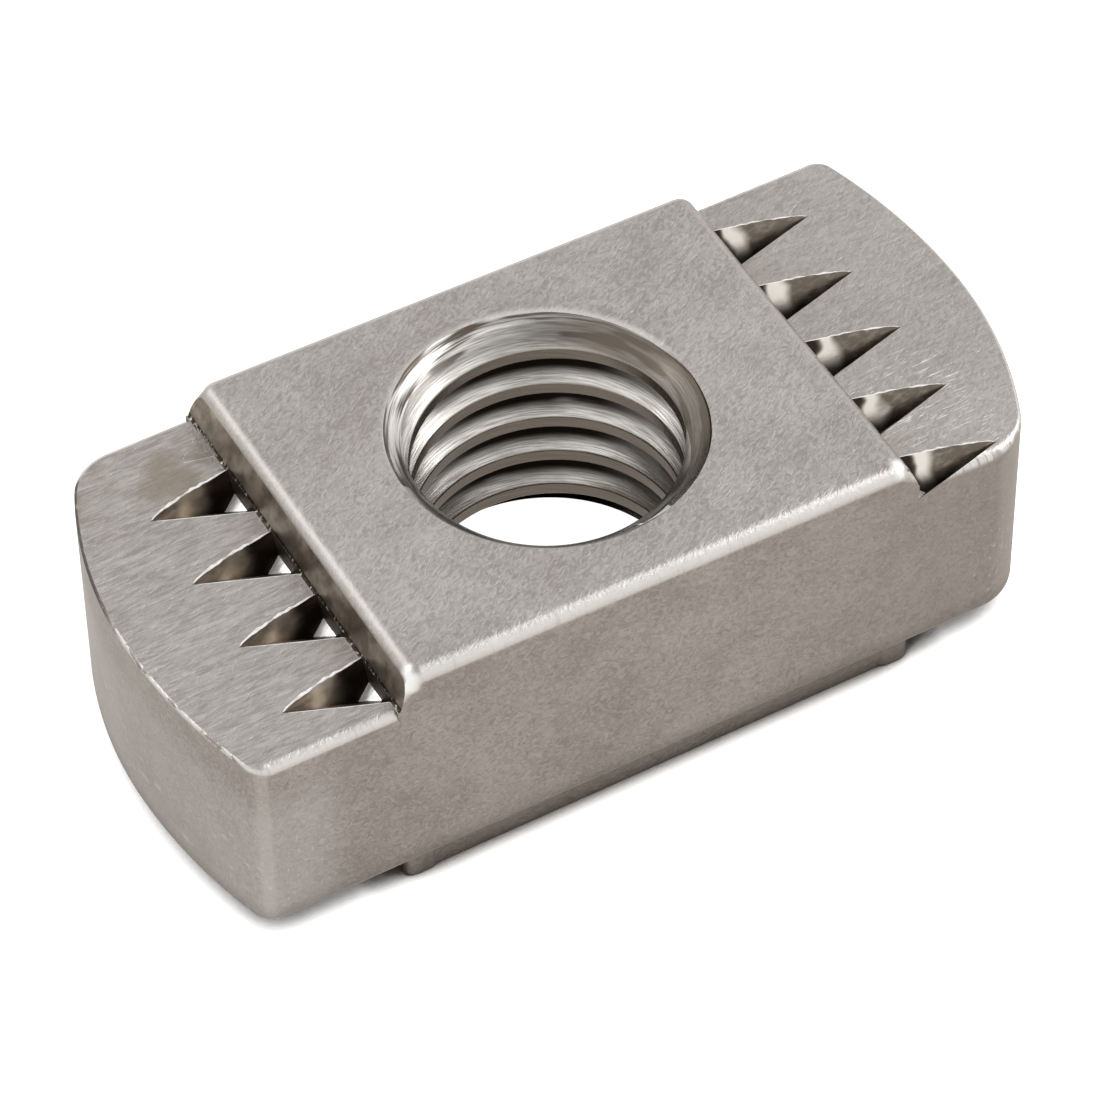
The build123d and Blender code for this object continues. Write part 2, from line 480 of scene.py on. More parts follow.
def rowTree():
    # copies of one shape in a row along Y, each a little longer or shorter
    tree, given = newTree("notchRow", [
        ("Shape", "Object"), ("Count", "Int"), ("Pitch", "Float"), ("First", "Vector"),
        ("Unevenness", "Float"), ("Seed", "Int"), ("Material", "Material")])
    step = addNode(tree, "ShaderNodeCombineXYZ", links={"Y": given["Pitch"]})
    line = addNode(tree, "GeometryNodeMeshLine", {"mode": "OFFSET"},
                   {"Count": given["Count"], "Start Location": given["First"], "Offset": step})
    least = addNode(tree, "ShaderNodeMath", {"operation": "SUBTRACT"}, {0: 1.0, 1: given["Unevenness"]})
    scale = addNode(tree, "FunctionNodeRandomValue", {"data_type": "FLOAT"},
                    {"Min": least, "Max": 1.0, "Seed": given["Seed"]})
    longer = addNode(tree, "ShaderNodeCombineXYZ", links={"X": scale, "Y": 1.0, "Z": 1.0})
    shape = addNode(tree, "GeometryNodeObjectInfo", {"transform_space": "ORIGINAL"},
                    {"Object": given["Shape"]}, out="Geometry")
    copies = addNode(tree, "GeometryNodeInstanceOnPoints",
                     links={"Points": line, "Instance": shape, "Scale": longer})
    finishTree(tree, copies, given["Material"])
    return tree


notchRow = rowTree()
for name, row in rows.items():
    foot = block["offset"] + endWall(row["end"])[1].x
    shapes = [(notchBurr(row, side), "UNION", "raisedBurr") for side in (1, -1) if side > 0 or row["nearBurr"]]
    shapes.append((notchCutter(row), "DIFFERENCE", row["lining"]))
    for shape, operation, materialName in shapes:
        one = toObject(shape, name + materialName)
        line = growFrom(notchRow, name + "Row", {
            "Shape": one, "Count": row["count"], "Pitch": row["pitch"] * mm,
            "Unevenness": punch["unevenness"], "Seed": punch["seed"],
            "First": (foot * mm, row["first"] * mm, plateTop * mm), "Material": materials[materialName]})
        if operation == "UNION":
            # the burrs stop short of the rounded sides
            reach, side, tall = 17, halfWidth - 0.6 * nut["sideEdge"], 0.5
            room = [[(x, y, z) for x, y in ((-reach, -side), (reach, -side), (reach, side), (-reach, side))]
                    for z in (plateTop - tall, plateTop + tall)]
            combine(line, toObject(stack(room), "burrRoom"), "INTERSECT")
        combine(body, line, operation)
        bpy.data.objects.remove(one)
print("channel nut: notches punched", len(body.data.polygons), "faces")


def finishMesh(obj, crispAngle):
    # doubles merged, smooth but for edges over that angle, normals weighted by the size of the faces
    mesh, weld = bmesh.new(), 0.002 * mm
    mesh.from_mesh(obj.data)
    bmesh.ops.remove_doubles(mesh, verts=mesh.verts, dist=weld)
    bmesh.ops.dissolve_degenerate(mesh, edges=mesh.edges, dist=weld)
    mesh.to_mesh(obj.data)
    mesh.free()
    obj.data.polygons.foreach_set("use_smooth", [True] * len(obj.data.polygons))
    obj.data.set_sharp_from_angle(angle=math.radians(crispAngle))
    weighted = obj.modifiers.new("weighted", "WEIGHTED_NORMAL")
    weighted.mode = "FACE_AREA"
    weighted.weight = 100
    weighted.keep_sharp = True
    bake(obj)


finishMesh(body, crispAngle=32)
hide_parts("channel_nut")
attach(body, "root")

smooth = {"interpolation_type": "SMOOTHSTEP"}
turned = {"vector_type": "TEXTURE"}      # a pattern turned first, then stretched along its own axes
coloured = {"data_type": "RGBA"}


def layMarks(tree, place, patterns, rough=0.5):
    # noise by name, mostly between 0.3 and 0.7; a pattern is
    # (turn about Z, stretch, width of a mark in mm, detail, bend)
    marks = {}
    for name, (turn, stretch, width, detail, bend) in patterns.items():
        laid = addNode(tree, "ShaderNodeMapping", turned, {
            "Vector": place, "Rotation": (0, 0, math.radians(turn)), "Scale": stretch})
        marks[name] = addNode(tree, "ShaderNodeTexNoise", links={
            "Vector": laid, "Scale": 500 / width, "Detail": detail, "Roughness": rough, "Distortion": bend})
    return marks


def steelSurface(tree, ground, layers, roughness, reliefs, metallic=1.0):
    # bare steel as the material's surface; layers over the ground colour, in this order: (where, colour);
    # reliefs: (pattern, height in mm, where)
    colour, normal = linear(ground), {}
    for where, hexColour in layers:
        colour = addNode(tree, "ShaderNodeMix", coloured, {"Factor": where, "A": colour, "B": linear(hexColour)})
    for pattern, height, where in reliefs:
        normal = {"Normal": addNode(tree, "ShaderNodeBump", links={
            "Height": pattern, "Distance": height * mm, "Strength": where, **normal})}
    shader = addNode(tree, "ShaderNodeBsdfPrincipled", links={
        "Base Color": colour, "Metallic": metallic, "Roughness": roughness, **normal})
    addNode(tree, "ShaderNodeOutputMaterial", links={"Surface": shader})


def aroundHole(tree):
    # x: way round the hole, y: distance from its axis, z: height
    place = addNode(tree, "ShaderNodeTexCoord", out="Object")
    centred = addNode(tree, "ShaderNodeVectorMath", {"operation": "SUBTRACT"},
                      {0: place, 1: (nut["holeOffset"] * mm, 0, 0)})
    at = addNode(tree, "ShaderNodeSeparateXYZ", links={0: centred}).node.outputs
    flat = addNode(tree, "ShaderNodeCombineXYZ", links={"X": at["X"], "Y": at["Y"]})
    radius = addNode(tree, "ShaderNodeVectorMath", {"operation": "LENGTH"}, {0: flat})
    angle = addNode(tree, "ShaderNodeMath", {"operation": "ARCTAN2"}, {0: at["Y"], 1: at["X"]})
    arc = addNode(tree, "ShaderNodeMath", {"operation": "MULTIPLY"}, {0: angle, 1: thread["majorRadius"] * mm})
    return addNode(tree, "ShaderNodeCombineXYZ", links={"X": arc, "Y": radius, "Z": at["Z"]})


def darkSide(tree, around, most):
    # painted shade on the +X side of the hole: fades in between two cosines of the azimuth, up to most
    arc = addNode(tree, "ShaderNodeSeparateXYZ", links={0: around}).node.outputs["X"]
    angle = addNode(tree, "ShaderNodeMath", {"operation": "DIVIDE"}, {0: arc, 1: thread["majorRadius"] * mm})
    side = addNode(tree, "ShaderNodeMath", {"operation": "COSINE"}, {0: angle})
    return addNode(tree, "ShaderNodeMapRange", smooth, {
        "Value": side, "From Min": 0.1, "From Max": 0.75, "To Max": most})


tumbled = {
    "light": "#B6B1AD", "dark": "#958F8A",
    "patterns": {            # the grain is drawn at its real size
        "grain": (29, (2.2, 1.0, 1.4), 0.10, 2.0, 1.8),
        "fine": (0, (1.0, 1.0, 1.0), 0.05, 1.0, 0.0),
        "mottle": (0, (1.0, 1.0, 1.0), 1.1, 3.0, 0.0),
        "cloud": (0, (1.0, 1.0, 1.0), 4.5, 2.0, 0.0),
        "streak": (2, (7.0, 1.0, 1.0), 0.06, 3.0, 0.9),
        "scratch": (2, (11.0, 1.0, 1.0), 0.04, 1.0, 0.9),
        "teeth": (0, (1.0, 8.0, 8.0), 0.09, 2.0, 0.2),
        "slant": (0, (1.0, 5.0, 1.6), 0.09, 2.0, 0.5),
        "dash": (0, (1.0, 3.5, 1.0), 0.09, 2.0, 0.0),
    },
    "mouthGlow": 0.3, "mouthLine": (0.10, 0.04),      # rings round the hole's mouth, out from its edge: a painted highlight and a dark line
}


def dressTumbled():
    # stainless steel, hot forged and tumbled: satin grey with a fine worm-like grain, its rounded edges painted
    # lighter, a painted highlight over their rubbed polish;
    # the shoulders keep short drawn streaks, and the round ends a nicked, burred rim; painted shade darkens the
    # underside and the +X end
    tree = materials["tumbledStainless"].node_tree
    place = addNode(tree, "ShaderNodeTexCoord", out="Object")
    facing = addNode(tree, "ShaderNodeTexCoord", out="Normal")
    at = addNode(tree, "ShaderNodeSeparateXYZ", links={0: place}).node.outputs
    face = addNode(tree, "ShaderNodeSeparateXYZ", links={0: facing}).node.outputs
    acrossX, acrossY, level, sideways = [
        addNode(tree, "ShaderNodeMath", {"operation": "ABSOLUTE"}, {0: value})
        for value in (at["X"], at["Y"], face["Z"], face["Y"])]
    marks = layMarks(tree, place, tumbled["patterns"], 0.55)
    # where each kind of mark lies: (value, from, to, and the zone it is part of); "left" is the -X end
    zones = {}
    for name, value, low, high, within in (
            ("shoulder", acrossX, 10.6 * mm, 10.9 * mm, 1.0),
            ("shoulderTop", at["Z"], 9.1 * mm, 9.3 * mm, "shoulder"),
            ("streaky", level, 0.9, 0.98, "shoulderTop"),               # tops of the shoulders
            ("tilted", level, 0.992, 0.9, 1.0),
            ("rounded", level, 0.08, 0.35, "tilted"),                   # rounds between flat and upright, painted lighter as a highlight
            ("rim", sideways, 0.62, 0.52, "rounded"),
            ("endRim", acrossX, 12.5 * mm, 13.2 * mm, "rim"),
            ("topRim", at["Z"], 9.0 * mm, 9.3 * mm, "endRim"),          # upper edge of the end arcs, painted lighter as a highlight
            ("offCorner", acrossY, 7.6 * mm, 7.1 * mm, "topRim"),
            ("leftRim", at["X"], 0.0, -1.0 * mm, "offCorner"),
            ("backRim", at["Y"], -0.5 * mm, 1.5 * mm, "leftRim"),
            ("rightTop", at["X"], 0.0, 1.0 * mm, "streaky"),
            ("nearTips", acrossX, 15.4 * mm, 14.4 * mm, "rightTop"),
            ("scored", at["Y"], -1.0 * mm, -3.5 * mm, "nearTips"),      # front of the right shoulder
            ("besideWall", acrossX, 12.6 * mm, 11.0 * mm, "streaky"),
            # the long sides' rounded upper edges, painted lighter as a highlight
            ("sideRim", sideways, 0.1, 0.7, "rounded"),
            ("toothed", at["Z"], 9.1 * mm, 9.3 * mm, "sideRim"),        # upper edges of the long sides
            ("rightTeeth", at["X"], 9.5 * mm, 11.0 * mm, "toothed"),
            ("upright", level, 0.5, 0.2, 1.0),
            # painted shade on the upright faces, growing towards +X
            ("farRight", at["X"], 1.0 * mm, 17.0 * mm, "upright"),
            ("besideFace", sideways, 0.60, 0.80, "upright"),
            ("corner", sideways, 0.995, 0.95, "besideFace"),            # upright corners, painted lighter as a highlight
            ("roundEnd", acrossX, 12.5 * mm, 14.5 * mm, "upright"),     # faces of the end arcs
            ("endLow", at["Z"], 7.5 * mm, 4.0 * mm, "roundEnd"),
            ("leftEnd", at["X"], 0.0, -1.0 * mm, "roundEnd"),
            # a painted sheen low on the -X end's face
            ("leftLow", at["Z"], 8.6 * mm, 6.4 * mm, "leftEnd"),
            # painted shade towards the underside
            ("foot", at["Z"], 2.2 * mm, 0.9 * mm, 1.0),
            ("browHeight", at["Z"], 10.3 * mm, 10.55 * mm, 1.0),
            ("browFront", at["Y"], -7.35 * mm, -7.7 * mm, "browHeight"),
            ("browCorner", acrossX, 9.65 * mm, 10.05 * mm, "browFront"),     # block's front corners, with a painted highlight
            ("blockTop", at["Z"], plateTop * mm, (overallHeight - 0.5) * mm, 1.0),
            ("mouthBack", at["Y"], -1.0 * mm, 2.5 * mm, "blockTop"),
            ("mouthFront", at["Y"], 2.0 * mm, -1.0 * mm, "blockTop"),
            ("backLeft", at["X"], 0.0, -1.0 * mm, "streaky"),
            ("stained", at["Y"], 3.0 * mm, 5.5 * mm, "backLeft")):
        zones[name] = addNode(tree, "ShaderNodeMapRange", smooth, {
            "Value": value, "From Min": low, "From Max": high, "To Max": zones.get(within, 1.0)})
    # marks picked out of their patterns: (pattern, from, to, zone)
    picked = {}
    for name, pattern, low, high, zone in (
            ("scratches", "scratch", 0.61, 0.72, "scored"), ("ticks", "teeth", 0.56, 0.70, "toothed"),
            ("cuts", "teeth", 0.44, 0.54, "rightTeeth"),
            ("nicks", "slant", 0.60, 0.72, "endLow"), ("darkRim", "dash", 0.70, 0.54, "backRim"),
            ("brokenRim", "dash", 0.56, 0.62, "leftRim"), ("stain", "mottle", 0.36, 0.60, "stained"),
            ("tint", "mottle", 0.40, 0.60, "besideWall")):
        picked[name] = addNode(tree, "ShaderNodeMapRange", smooth, {
            "Value": marks[pattern], "From Min": low, "From Max": high, "To Max": zones[zone]})

    even = addNode(tree, "ShaderNodeMix", links={"Factor": 0.22, "A": marks["grain"], "B": marks["mottle"]})
    even = addNode(tree, "ShaderNodeMix", links={"Factor": 0.2, "A": even, "B": marks["cloud"]})
    drawn = addNode(tree, "ShaderNodeMix", links={"Factor": 0.3, "A": marks["streak"], "B": even})
    # the right shoulder was drawn less
    zones["drawn"] = addNode(tree, "ShaderNodeMath", {"operation": "MULTIPLY_ADD"}, {
        0: zones["rightTop"], 1: -0.6, 2: zones["streaky"]})
    tone = addNode(tree, "ShaderNodeMix", links={"Factor": zones["drawn"], "A": even, "B": drawn})
    tone = addNode(tree, "ShaderNodeMapRange", links={"Value": tone, "From Min": 0.38, "From Max": 0.62})
    # on the block's top the hole's mouth gets a painted highlight at the back and is lined dark at the front
    radius = addNode(tree, "ShaderNodeSeparateXYZ", links={0: aroundHole(tree)}).node.outputs["Y"]
    mouth = thread["topMouth"] / 2
    for name, outer, inner, within in (("mouth", tumbled["mouthGlow"], 0.0, "mouthBack"),
                                       ("mouthLine", *tumbled["mouthLine"], "mouthFront")):
        zones[name] = addNode(tree, "ShaderNodeMapRange", smooth, {
            "Value": radius, "From Min": (mouth + outer) * mm, "From Max": (mouth + inner) * mm,
            "To Max": zones[within]})
    # what shows its own colour, or painted light and shade: (zone or mark, strength, colour)
    layers = [(tone, tumbled["light"])]
    for name, strength, hexColour in (
            # rounded, sideRim and corner: painted highlights on the edges and upright corners
            ("rounded", 0.35, "#C6C2BD"), ("sideRim", 0.6, "#E9E6E3"), ("corner", 0.3, "#CFCBC7"),
            # leftLow: a painted sheen; browCorner: a painted highlight on the block's front corners
            ("leftLow", 0.28, "#D2D3D6"), ("browCorner", 0.85, "#FBFAF9"),
            # farRight: painted shade on the upright faces towards +X
            ("farRight", 0.40, "#7D766E"), ("ticks", 0.15, "#8A827A"), ("cuts", 0.5, "#857D75"),
            ("scratches", 0.8, "#E4E0DC"), ("nicks", 0.6, "#D5D1CC"), ("tint", 0.22, "#83796D"),
            # mouth: a painted highlight round the back of the hole's mouth
            ("stain", 0.75, "#877C6F"), ("mouth", 0.45, "#E3E0DC"), ("mouthLine", 0.7, "#4F4840"),
            # topRim: a painted highlight along the end arcs' upper edge
            ("topRim", 0.5, "#DEDBD7"), ("brokenRim", 0.7, "#6E665E"), ("darkRim", 0.9, "#3F3830"),
            # foot: painted shade towards the underside
            ("foot", 0.5, "#6B635B")):
        factor = addNode(tree, "ShaderNodeMath", {"operation": "MULTIPLY"},
                         {0: picked.get(name) or zones[name], 1: strength})
        layers.append((factor, hexColour))

    rough = addNode(tree, "ShaderNodeMapRange", links={
        "Value": marks["grain"], "From Min": 0.3, "From Max": 0.7, "To Min": 0.34, "To Max": 0.46})
    zones["plain"] = addNode(tree, "ShaderNodeMapRange", links={
        "Value": zones["rounded"], "From Min": 0.0, "From Max": 1.0, "To Min": 1.0, "To Max": 0.5})
    reliefs = [(marks[pattern], height, zones[zone]) for pattern, height, zone in (
        ("mottle", 0.03, "plain"), ("grain", 0.028, "plain"), ("fine", 0.003, "plain"), ("streak", 0.026, "drawn"),
        ("teeth", 0.008, "toothed"), ("slant", 0.028, "roundEnd"), ("dash", 0.04, "leftRim"))]
    steelSurface(tree, tumbled["dark"], layers, rough, reliefs)


sheared = {
    "dark": "#736A60", "light": "#A89F95", "pit": "#37302A", "crumb": "#B8B2AB",
    "footBand": (0.20, 0.10),        # the torn foot fades in between these heights over the shoulder
    "patterns": {
        "blotch": (0, (1.0, 1.0, 1.2), 0.25, 2.0, 0.0),
        "patch": (0, (1.0, 1.6, 1.0), 0.7, 2.0, 0.0),
        "crumb": (0, (1.0, 1.0, 2.0), 0.07, 2.0, 0.0),
    },
}


def dressWall():
    # flash sheared off the end walls: darker and browner, in soft blotches, torn into small teeth along the foot
    tree = materials["shearedWall"].node_tree
    place = addNode(tree, "ShaderNodeTexCoord", out="Object")
    height = addNode(tree, "ShaderNodeSeparateXYZ", links={0: place}).node.outputs["Z"]
    marks = layMarks(tree, place, sheared["patterns"])
    outer, inner = sheared["footBand"]
    foot = addNode(tree, "ShaderNodeMapRange", smooth, {
        "Value": height, "From Min": (plateTop + outer) * mm, "From Max": (plateTop + inner) * mm})
    both = addNode(tree, "ShaderNodeMix", links={"Factor": 0.6, "A": marks["blotch"], "B": marks["patch"]})
    both = addNode(tree, "ShaderNodeMapRange", smooth, {"Value": both, "From Min": 0.38, "From Max": 0.62})
    pits, crumbs = [addNode(tree, "ShaderNodeMapRange", smooth, {
        "Value": marks["crumb"], "From Min": low, "From Max": high, "To Max": foot})
        for low, high in ((0.66, 0.50), (0.60, 0.68))]
    steelSurface(tree, sheared["dark"],
                 [(both, sheared["light"]), (pits, sheared["pit"]), (crumbs, sheared["crumb"])],
                 0.34, [(marks["blotch"], 0.015, 1.0), (marks["crumb"], 0.06, foot)])


flank = {
    "dark": "#6B6258", "light": "#877E74", "leftPatch": "#B0A598", "rightPatch": "#E6DFD6",
    "valley": "#1C1713", "wall": "#332B25", "step": "#C9C1B7", "toe": "#F2F0ED",
    "wander": 1.2,                   # how far the bands' edges stray
    "valleyBand": (0.40, 0.95), "toeBand": (0.3, 0.4),      # these fade in between two depths
    "patterns": {
        "smudge": (20, (1.5, 1.0, 1.0), 0.5, 1.5, 0.0),
        "fleck": (12, (3.0, 1.0, 1.0), 0.09, 1.5, 0.0),
    },
}


def dressFlank():
    # metal cut by the punch: smooth brown flanks with a soft paler patch, painted shade near black towards the
    # valley and dark beside the wall;
    # the short slope at the wall's foot is almost white, the step above it pale brown
    tree = materials["punchedFlank"].node_tree
    place = addNode(tree, "ShaderNodeTexCoord", out="Object")
    facing = addNode(tree, "ShaderNodeTexCoord", out="Normal")
    at = addNode(tree, "ShaderNodeSeparateXYZ", links={0: place}).node.outputs
    height = at["Z"]
    face = addNode(tree, "ShaderNodeSeparateXYZ", links={0: facing}).node.outputs
    sideways, endways = [
        addNode(tree, "ShaderNodeMath", {"operation": "ABSOLUTE"}, {0: face[axis]}) for axis in "YX"]
    marks = layMarks(tree, place, flank["patterns"])
    low, high = flank["valleyBand"]
    # painted shade, near black deeper into the notch towards its valley
    deep = addNode(tree, "ShaderNodeMapRange", smooth, {
        "Value": height, "From Min": (plateTop - low) * mm, "From Max": (plateTop - high) * mm, "To Max": 0.9})
    # bands across the flanks, their edges wandering: x of the start and the end of each fade
    bands, stray = {}, flank["wander"] * mm
    wander = addNode(tree, "ShaderNodeMath", {"operation": "MULTIPLY_ADD"}, {
        0: marks["smudge"], 1: stray, 2: -stray / 2})
    wander = addNode(tree, "ShaderNodeMath", {"operation": "ADD"}, {0: at["X"], 1: wander})
    # leftDark and rightDark lay painted shade on the flanks beside the wall
    for name, low, high, within in (
            ("leftIn", -13.3, -12.6, 1.0), ("leftPatch", -11.5, -12.1, "leftIn"),
            ("leftWall", -12.0, -11.3, 1.0), ("leftDark", 0.0, -1.0, "leftWall"),
            ("rightIn", 11.1, 11.35, 1.0), ("rightPatch", 12.1, 11.6, "rightIn"),
            ("rightWall", 11.3, 11.0, 1.0), ("rightDark", 0.0, 1.0, "rightWall")):
        bands[name] = addNode(tree, "ShaderNodeMapRange", smooth, {
            "Value": wander, "From Min": low * mm, "From Max": high * mm, "To Max": bands.get(within, 1.0)})
    fleck = addNode(tree, "ShaderNodeMapRange", smooth, {
        "Value": marks["fleck"], "From Min": 0.42, "From Max": 0.78})
    notSide = addNode(tree, "ShaderNodeMapRange", smooth, {"Value": sideways, "From Min": 0.35, "From Max": 0.2})
    toe = addNode(tree, "ShaderNodeMapRange", smooth, {
        "Value": face["Z"], "From Min": 0.5, "From Max": 0.7, "To Max": notSide})
    low, high = flank["toeBand"]
    toe = addNode(tree, "ShaderNodeMapRange", smooth, {
        "Value": height, "From Min": (plateTop - low) * mm, "From Max": (plateTop - high) * mm, "To Max": toe})
    step = addNode(tree, "ShaderNodeMapRange", smooth, {"Value": endways, "From Min": 0.85, "From Max": 0.95})
    steelSurface(tree, flank["dark"],
                 [(fleck, flank["light"]), (bands["leftPatch"], flank["leftPatch"]),
                  # painted shade near black towards the valley and beside the wall
                  (bands["rightPatch"], flank["rightPatch"]), (deep, flank["valley"]),
                  (bands["leftDark"], flank["wall"]), (bands["rightDark"], flank["wall"]),
                  (step, flank["step"]), (toe, flank["toe"])],
                 0.3, [(marks["smudge"], 0.05, 1.0), (marks["fleck"], 0.006, 1.0)])


torn = {
    "dark": "#DDD9D4", "light": "#F7F5F3",
    "patterns": {"flake": (0, (1.0, 1.0, 1.0), 0.119, 2.0, 0.0)},
}


def dressBurr():
    # thin raised edge of torn metal: bright from every side, in small flakes
    tree = materials["raisedBurr"].node_tree
    place = addNode(tree, "ShaderNodeTexCoord", out="Object")
    flakes = layMarks(tree, place, torn["patterns"])["flake"]
    tone = addNode(tree, "ShaderNodeMapRange", links={"Value": flakes, "From Min": 0.35, "From Max": 0.55})
    steelSurface(tree, torn["dark"], [(tone, torn["light"])], 0.45, [(flakes, 0.02, 1.0)], metallic=0.5)


tapped = {
    "dark": "#A8A29A", "light": "#E2DFDA", "smear": "#6B635A", "side": "#665D54", "crest": "#90877D",
    "rootShade": "#17120E", "rootShadeAt": 66, "rootShadeSpread": (62, 22),   # painted shade in the roots: azimuth where it is darkest, and how far from it
    "rootBand": (0.12, 0.62), "crestBand": (0.05, 0.01),    # these fade in between two distances from the crest
    "patterns": {
        "line": (0, (40.0, 1.0, 1.0), 0.03, 2.0, 0.0),
        "rootShade": (0, (4.0, 1.0, 0.6), 0.6, 2.0, 0.0),
        "smear": (0, (9.0, 1.0, 1.0), 0.24, 2.0, 0.0),
    },
}


def dressThread():
    # thread cut by a tap: bright flanks with fine lines round them, painted shade near black in the roots
    tree = materials["tappedThread"].node_tree
    around = aroundHole(tree)
    at = addNode(tree, "ShaderNodeSeparateXYZ", links={0: around}).node.outputs
    marks = layMarks(tree, around, tapped["patterns"])
    tone = addNode(tree, "ShaderNodeMapRange", links={"Value": marks["line"], "From Min": 0.3, "From Max": 0.65})
    below, above = [addNode(tree, "ShaderNodeMapRange", smooth, {
        "Value": at["Z"], "From Min": (overallHeight - low) * mm, "From Max": (overallHeight - high) * mm})
        for low, high in ((0.9, 1.3), (1.3, 1.0))]
    # the first turn runs out through the mouth: smeared there, and with painted shade on one side
    smear = addNode(tree, "ShaderNodeMapRange", smooth, {
        "Value": marks["smear"], "From Min": 0.50, "From Max": 0.60, "To Max": above})
    side = addNode(tree, "ShaderNodeMath", {"operation": "MULTIPLY"}, {0: darkSide(tree, around, 0.85), 1: above})
    # the painted root shade is blackest at the back of the hole
    angle = addNode(tree, "ShaderNodeMath", {"operation": "DIVIDE"}, {0: at["X"], 1: thread["majorRadius"] * mm})
    angle = addNode(tree, "ShaderNodeMath", {"operation": "SUBTRACT"}, {
        0: angle, 1: math.radians(tapped["rootShadeAt"])})
    angle = addNode(tree, "ShaderNodeMath", {"operation": "ABSOLUTE"}, {0: angle})
    low, high = [math.radians(spread) for spread in tapped["rootShadeSpread"]]
    back = addNode(tree, "ShaderNodeMapRange", smooth, {
        "Value": angle, "From Min": low, "From Max": high, "To Min": 0.7, "To Max": 1.0})
    back = addNode(tree, "ShaderNodeMath", {"operation": "MULTIPLY"}, {0: back, 1: below})
    root, crest = [addNode(tree, "ShaderNodeMapRange", smooth, {
        "Value": at["Y"], "From Min": (thread["minorRadius"] + low) * mm,
        "From Max": (thread["minorRadius"] + high) * mm, "To Max": most})
        for (low, high), most in ((tapped["rootBand"], back), (tapped["crestBand"], 0.8))]
    # painted shade in the roots, broken up by noise
    rootShaded = addNode(tree, "ShaderNodeMapRange", smooth, {
        "Value": marks["rootShade"], "From Min": 0.1, "From Max": 0.4, "To Max": root})
    steelSurface(tree, tapped["dark"],
                 [(tone, tapped["light"]), (smear, tapped["smear"]), (side, tapped["side"]),
                  (crest, tapped["crest"]), (rootShaded, tapped["rootShade"])],
                 0.24, [(marks["rootShade"], 0.03, 1.0), (marks["line"], 0.004, 1.0)])


countersunk = {
    "dark": "#5C544C", "light": "#EAE7E3", "side": "#6A6158",
    "patterns": {
        "groove": (0, (30.0, 1.0, 1.0), 0.03, 2.0, 0.0),
        "chatter": (0, (9.0, 1.0, 1.0), 0.24, 2.0, 0.0),
    },
}


def dressCountersink():
    # turned with a tool: rings of fine grooves, broken up where the tool chattered, with painted shade on the +X
    # side
    tree = materials["countersink"].node_tree
    around = aroundHole(tree)
    marks = layMarks(tree, around, countersunk["patterns"])
    both = addNode(tree, "ShaderNodeMix", links={"Factor": 0.75, "A": marks["groove"], "B": marks["chatter"]})
    tone = addNode(tree, "ShaderNodeMapRange", smooth, {"Value": both, "From Min": 0.42, "From Max": 0.56})
    steelSurface(tree, countersunk["dark"],
                 [(tone, countersunk["light"]), (darkSide(tree, around, 0.7), countersunk["side"])],
                 0.3, [(marks["groove"], 0.005, 1.0), (marks["chatter"], 0.025, 1.0)])


dressTumbled()
dressWall()
dressFlank()
dressBurr()
dressThread()
dressCountersink()
print("channel nut: steel finishes")

studio = {                   # lengths in metres, but for contact, holeRoom, lens and sensor, which are in mm
    "floor": 3.0, "floorColour": "#CFCAC5", "floorLift": 1.0, "floorGlint": 0.50,
    # contact, contactSamples, contactFade and contactColour make the painted contact shadow on the floor
    "contact": 1.7, "contactSamples": 12, "contactFade": (0.42, 0.66), "contactColour": "#6E6862",
    "holeRoom": 7.2,         # within this radius the floor has no contact shadow
    "ambient": 0.75, "surround": 1.08,
    "overhead": 0.40, "overheadAt": (-0.10, -0.30, 0.95), "overheadFade": (0.80, 0.96),
    "boxes": {
        "rightBox": {"place": (0.52, -0.16, 0.50), "size": 0.46, "radiance": 2.6},
        "leftBox": {"place": (-0.40, 0.42, 0.46), "size": 0.30, "radiance": 2.0},
    },
    # fitted to points of the nut, together with its proportions
    "camera": {"lens": 189.70, "sensor": 36.0, "place": (-0.068245, -0.124448, 0.165342),
               "turn": (41.3931, 0.5983, -29.3681)},
}


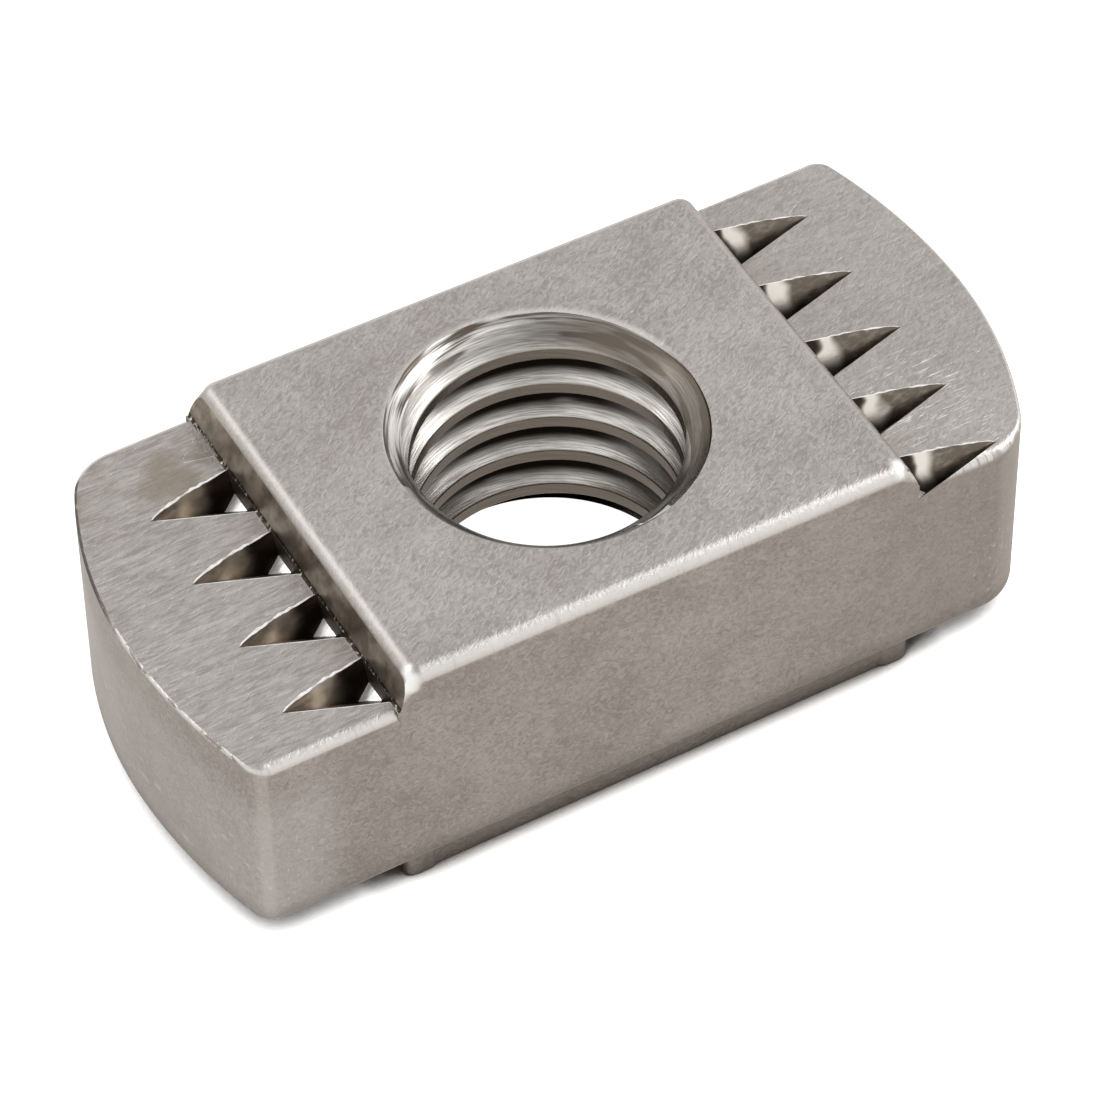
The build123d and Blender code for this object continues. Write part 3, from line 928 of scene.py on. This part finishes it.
def makeFloor():
    # pale paper under the nut: white to the camera but for a painted contact shadow, from ambient occlusion, where
    # the nut stands on it
    half = studio["floor"] / 2
    data = bpy.data.meshes.new("floor")
    data.from_pydata([(-half, -half, 0), (half, -half, 0), (half, half, 0), (-half, half, 0)], [], [(0, 1, 2, 3)])
    floor = bpy.data.objects.new("floor", data)
    bpy.context.scene.collection.objects.link(floor)
    material = newMaterial("paleFloor")
    tree = material.node_tree
    path = addNode(tree, "ShaderNodeLightPath").node.outputs
    near = addNode(tree, "ShaderNodeAmbientOcclusion", {"samples": studio["contactSamples"]},
                   {"Distance": studio["contact"] * mm}, out="AO")
    low, high = studio["contactFade"]
    clear = addNode(tree, "ShaderNodeMapRange", smooth, {"Value": near, "From Min": low, "From Max": high})
    # no painted contact shadow inside the hole
    place = addNode(tree, "ShaderNodeTexCoord", out="Object")
    away = addNode(tree, "ShaderNodeVectorMath", {"operation": "LENGTH"}, {0: place}, out="Value")
    inside = addNode(tree, "ShaderNodeMath", {"operation": "LESS_THAN"}, {0: away, 1: studio["holeRoom"] * mm})
    clear = addNode(tree, "ShaderNodeMath", {"operation": "MAXIMUM"}, {0: clear, 1: inside})
    colour = addNode(tree, "ShaderNodeMix", coloured, {
        "Factor": clear, "A": linear(studio["contactColour"]), "B": linear(studio["floorColour"])})
    matte = addNode(tree, "ShaderNodeBsdfDiffuse", links={"Color": colour})
    lift = addNode(tree, "ShaderNodeMath", {"operation": "MULTIPLY"}, {
        0: path["Is Camera Ray"], 1: studio["floorLift"]})
    lift = addNode(tree, "ShaderNodeMath", {"operation": "MULTIPLY_ADD"}, {
        0: path["Is Glossy Ray"], 1: studio["floorGlint"], 2: lift})
    lift = addNode(tree, "ShaderNodeMath", {"operation": "MULTIPLY"}, {0: lift, 1: clear})
    tint = addNode(tree, "ShaderNodeMix", coloured, {
        "Factor": path["Is Camera Ray"], "A": linear(studio["floorColour"]), "B": (1, 1, 1, 1)})
    glow = addNode(tree, "ShaderNodeEmission", links={"Color": tint, "Strength": lift})
    both = addNode(tree, "ShaderNodeAddShader", links={0: matte, 1: glow})
    addNode(tree, "ShaderNodeOutputMaterial", links={"Surface": both})
    data.materials.append(material)
    floor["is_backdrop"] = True


def makeWorld():
    # white to the camera; in reflections a white tent, darker overhead where its opening is
    world = bpy.data.worlds.new("studio")
    bpy.context.scene.world = world
    world.use_nodes = True
    tree = world.node_tree
    tree.nodes.clear()
    path = addNode(tree, "ShaderNodeLightPath").node.outputs
    direction = addNode(tree, "ShaderNodeTexCoord", out="Generated")
    towards = addNode(tree, "ShaderNodeVectorMath", {"operation": "DOT_PRODUCT"},
                      {0: direction, 1: studio["overheadAt"]}, out="Value")
    low, high = studio["overheadFade"]
    tent = addNode(tree, "ShaderNodeMapRange", smooth, {
        "Value": towards, "From Min": low, "From Max": high, "To Min": studio["surround"],
        "To Max": studio["overhead"]})
    mirrored = addNode(tree, "ShaderNodeMath", {"operation": "MAXIMUM"}, {
        0: path["Is Glossy Ray"], 1: path["Is Transmission Ray"]})
    strength = addNode(tree, "ShaderNodeMix", links={"Factor": mirrored, "A": studio["ambient"], "B": tent})
    strength = addNode(tree, "ShaderNodeMix", links={"Factor": path["Is Camera Ray"], "A": strength, "B": 1.0})
    sky = addNode(tree, "ShaderNodeBackground", links={"Color": (1, 1, 1, 1), "Strength": strength})
    addNode(tree, "ShaderNodeOutputWorld", links={"Surface": sky})


def makeBoxes():
    # square soft boxes; the power of each follows from how bright its face is
    for name, box in studio["boxes"].items():
        light = bpy.data.lights.new(name, "AREA")
        light.shape, light.size = "SQUARE", box["size"]
        light.energy = box["radiance"] * math.pi * box["size"] ** 2
        lamp = bpy.data.objects.new(name, light)
        lamp.location = box["place"]
        lamp.rotation_euler = (-Vector(box["place"])).to_track_quat("-Z", "Y").to_euler()
        bpy.context.scene.collection.objects.link(lamp)


def makeCamera():
    view = studio["camera"]
    camera = bpy.data.cameras.new("camera")
    camera.lens, camera.sensor_width = view["lens"], view["sensor"]
    camera.clip_start, camera.clip_end = 0.01, 10.0
    obj = bpy.data.objects.new("camera", camera)
    obj.location = view["place"]
    obj.rotation_euler = [math.radians(angle) for angle in view["turn"]]
    bpy.context.scene.collection.objects.link(obj)
    bpy.context.scene.camera = obj


makeFloor()
makeWorld()
makeBoxes()
makeCamera()
bpy.context.scene.view_settings.view_transform = "Standard"

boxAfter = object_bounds()
[[list(corner) for corner in box] for box in (boxBefore, boxAfter)]
print("channel nut: done")
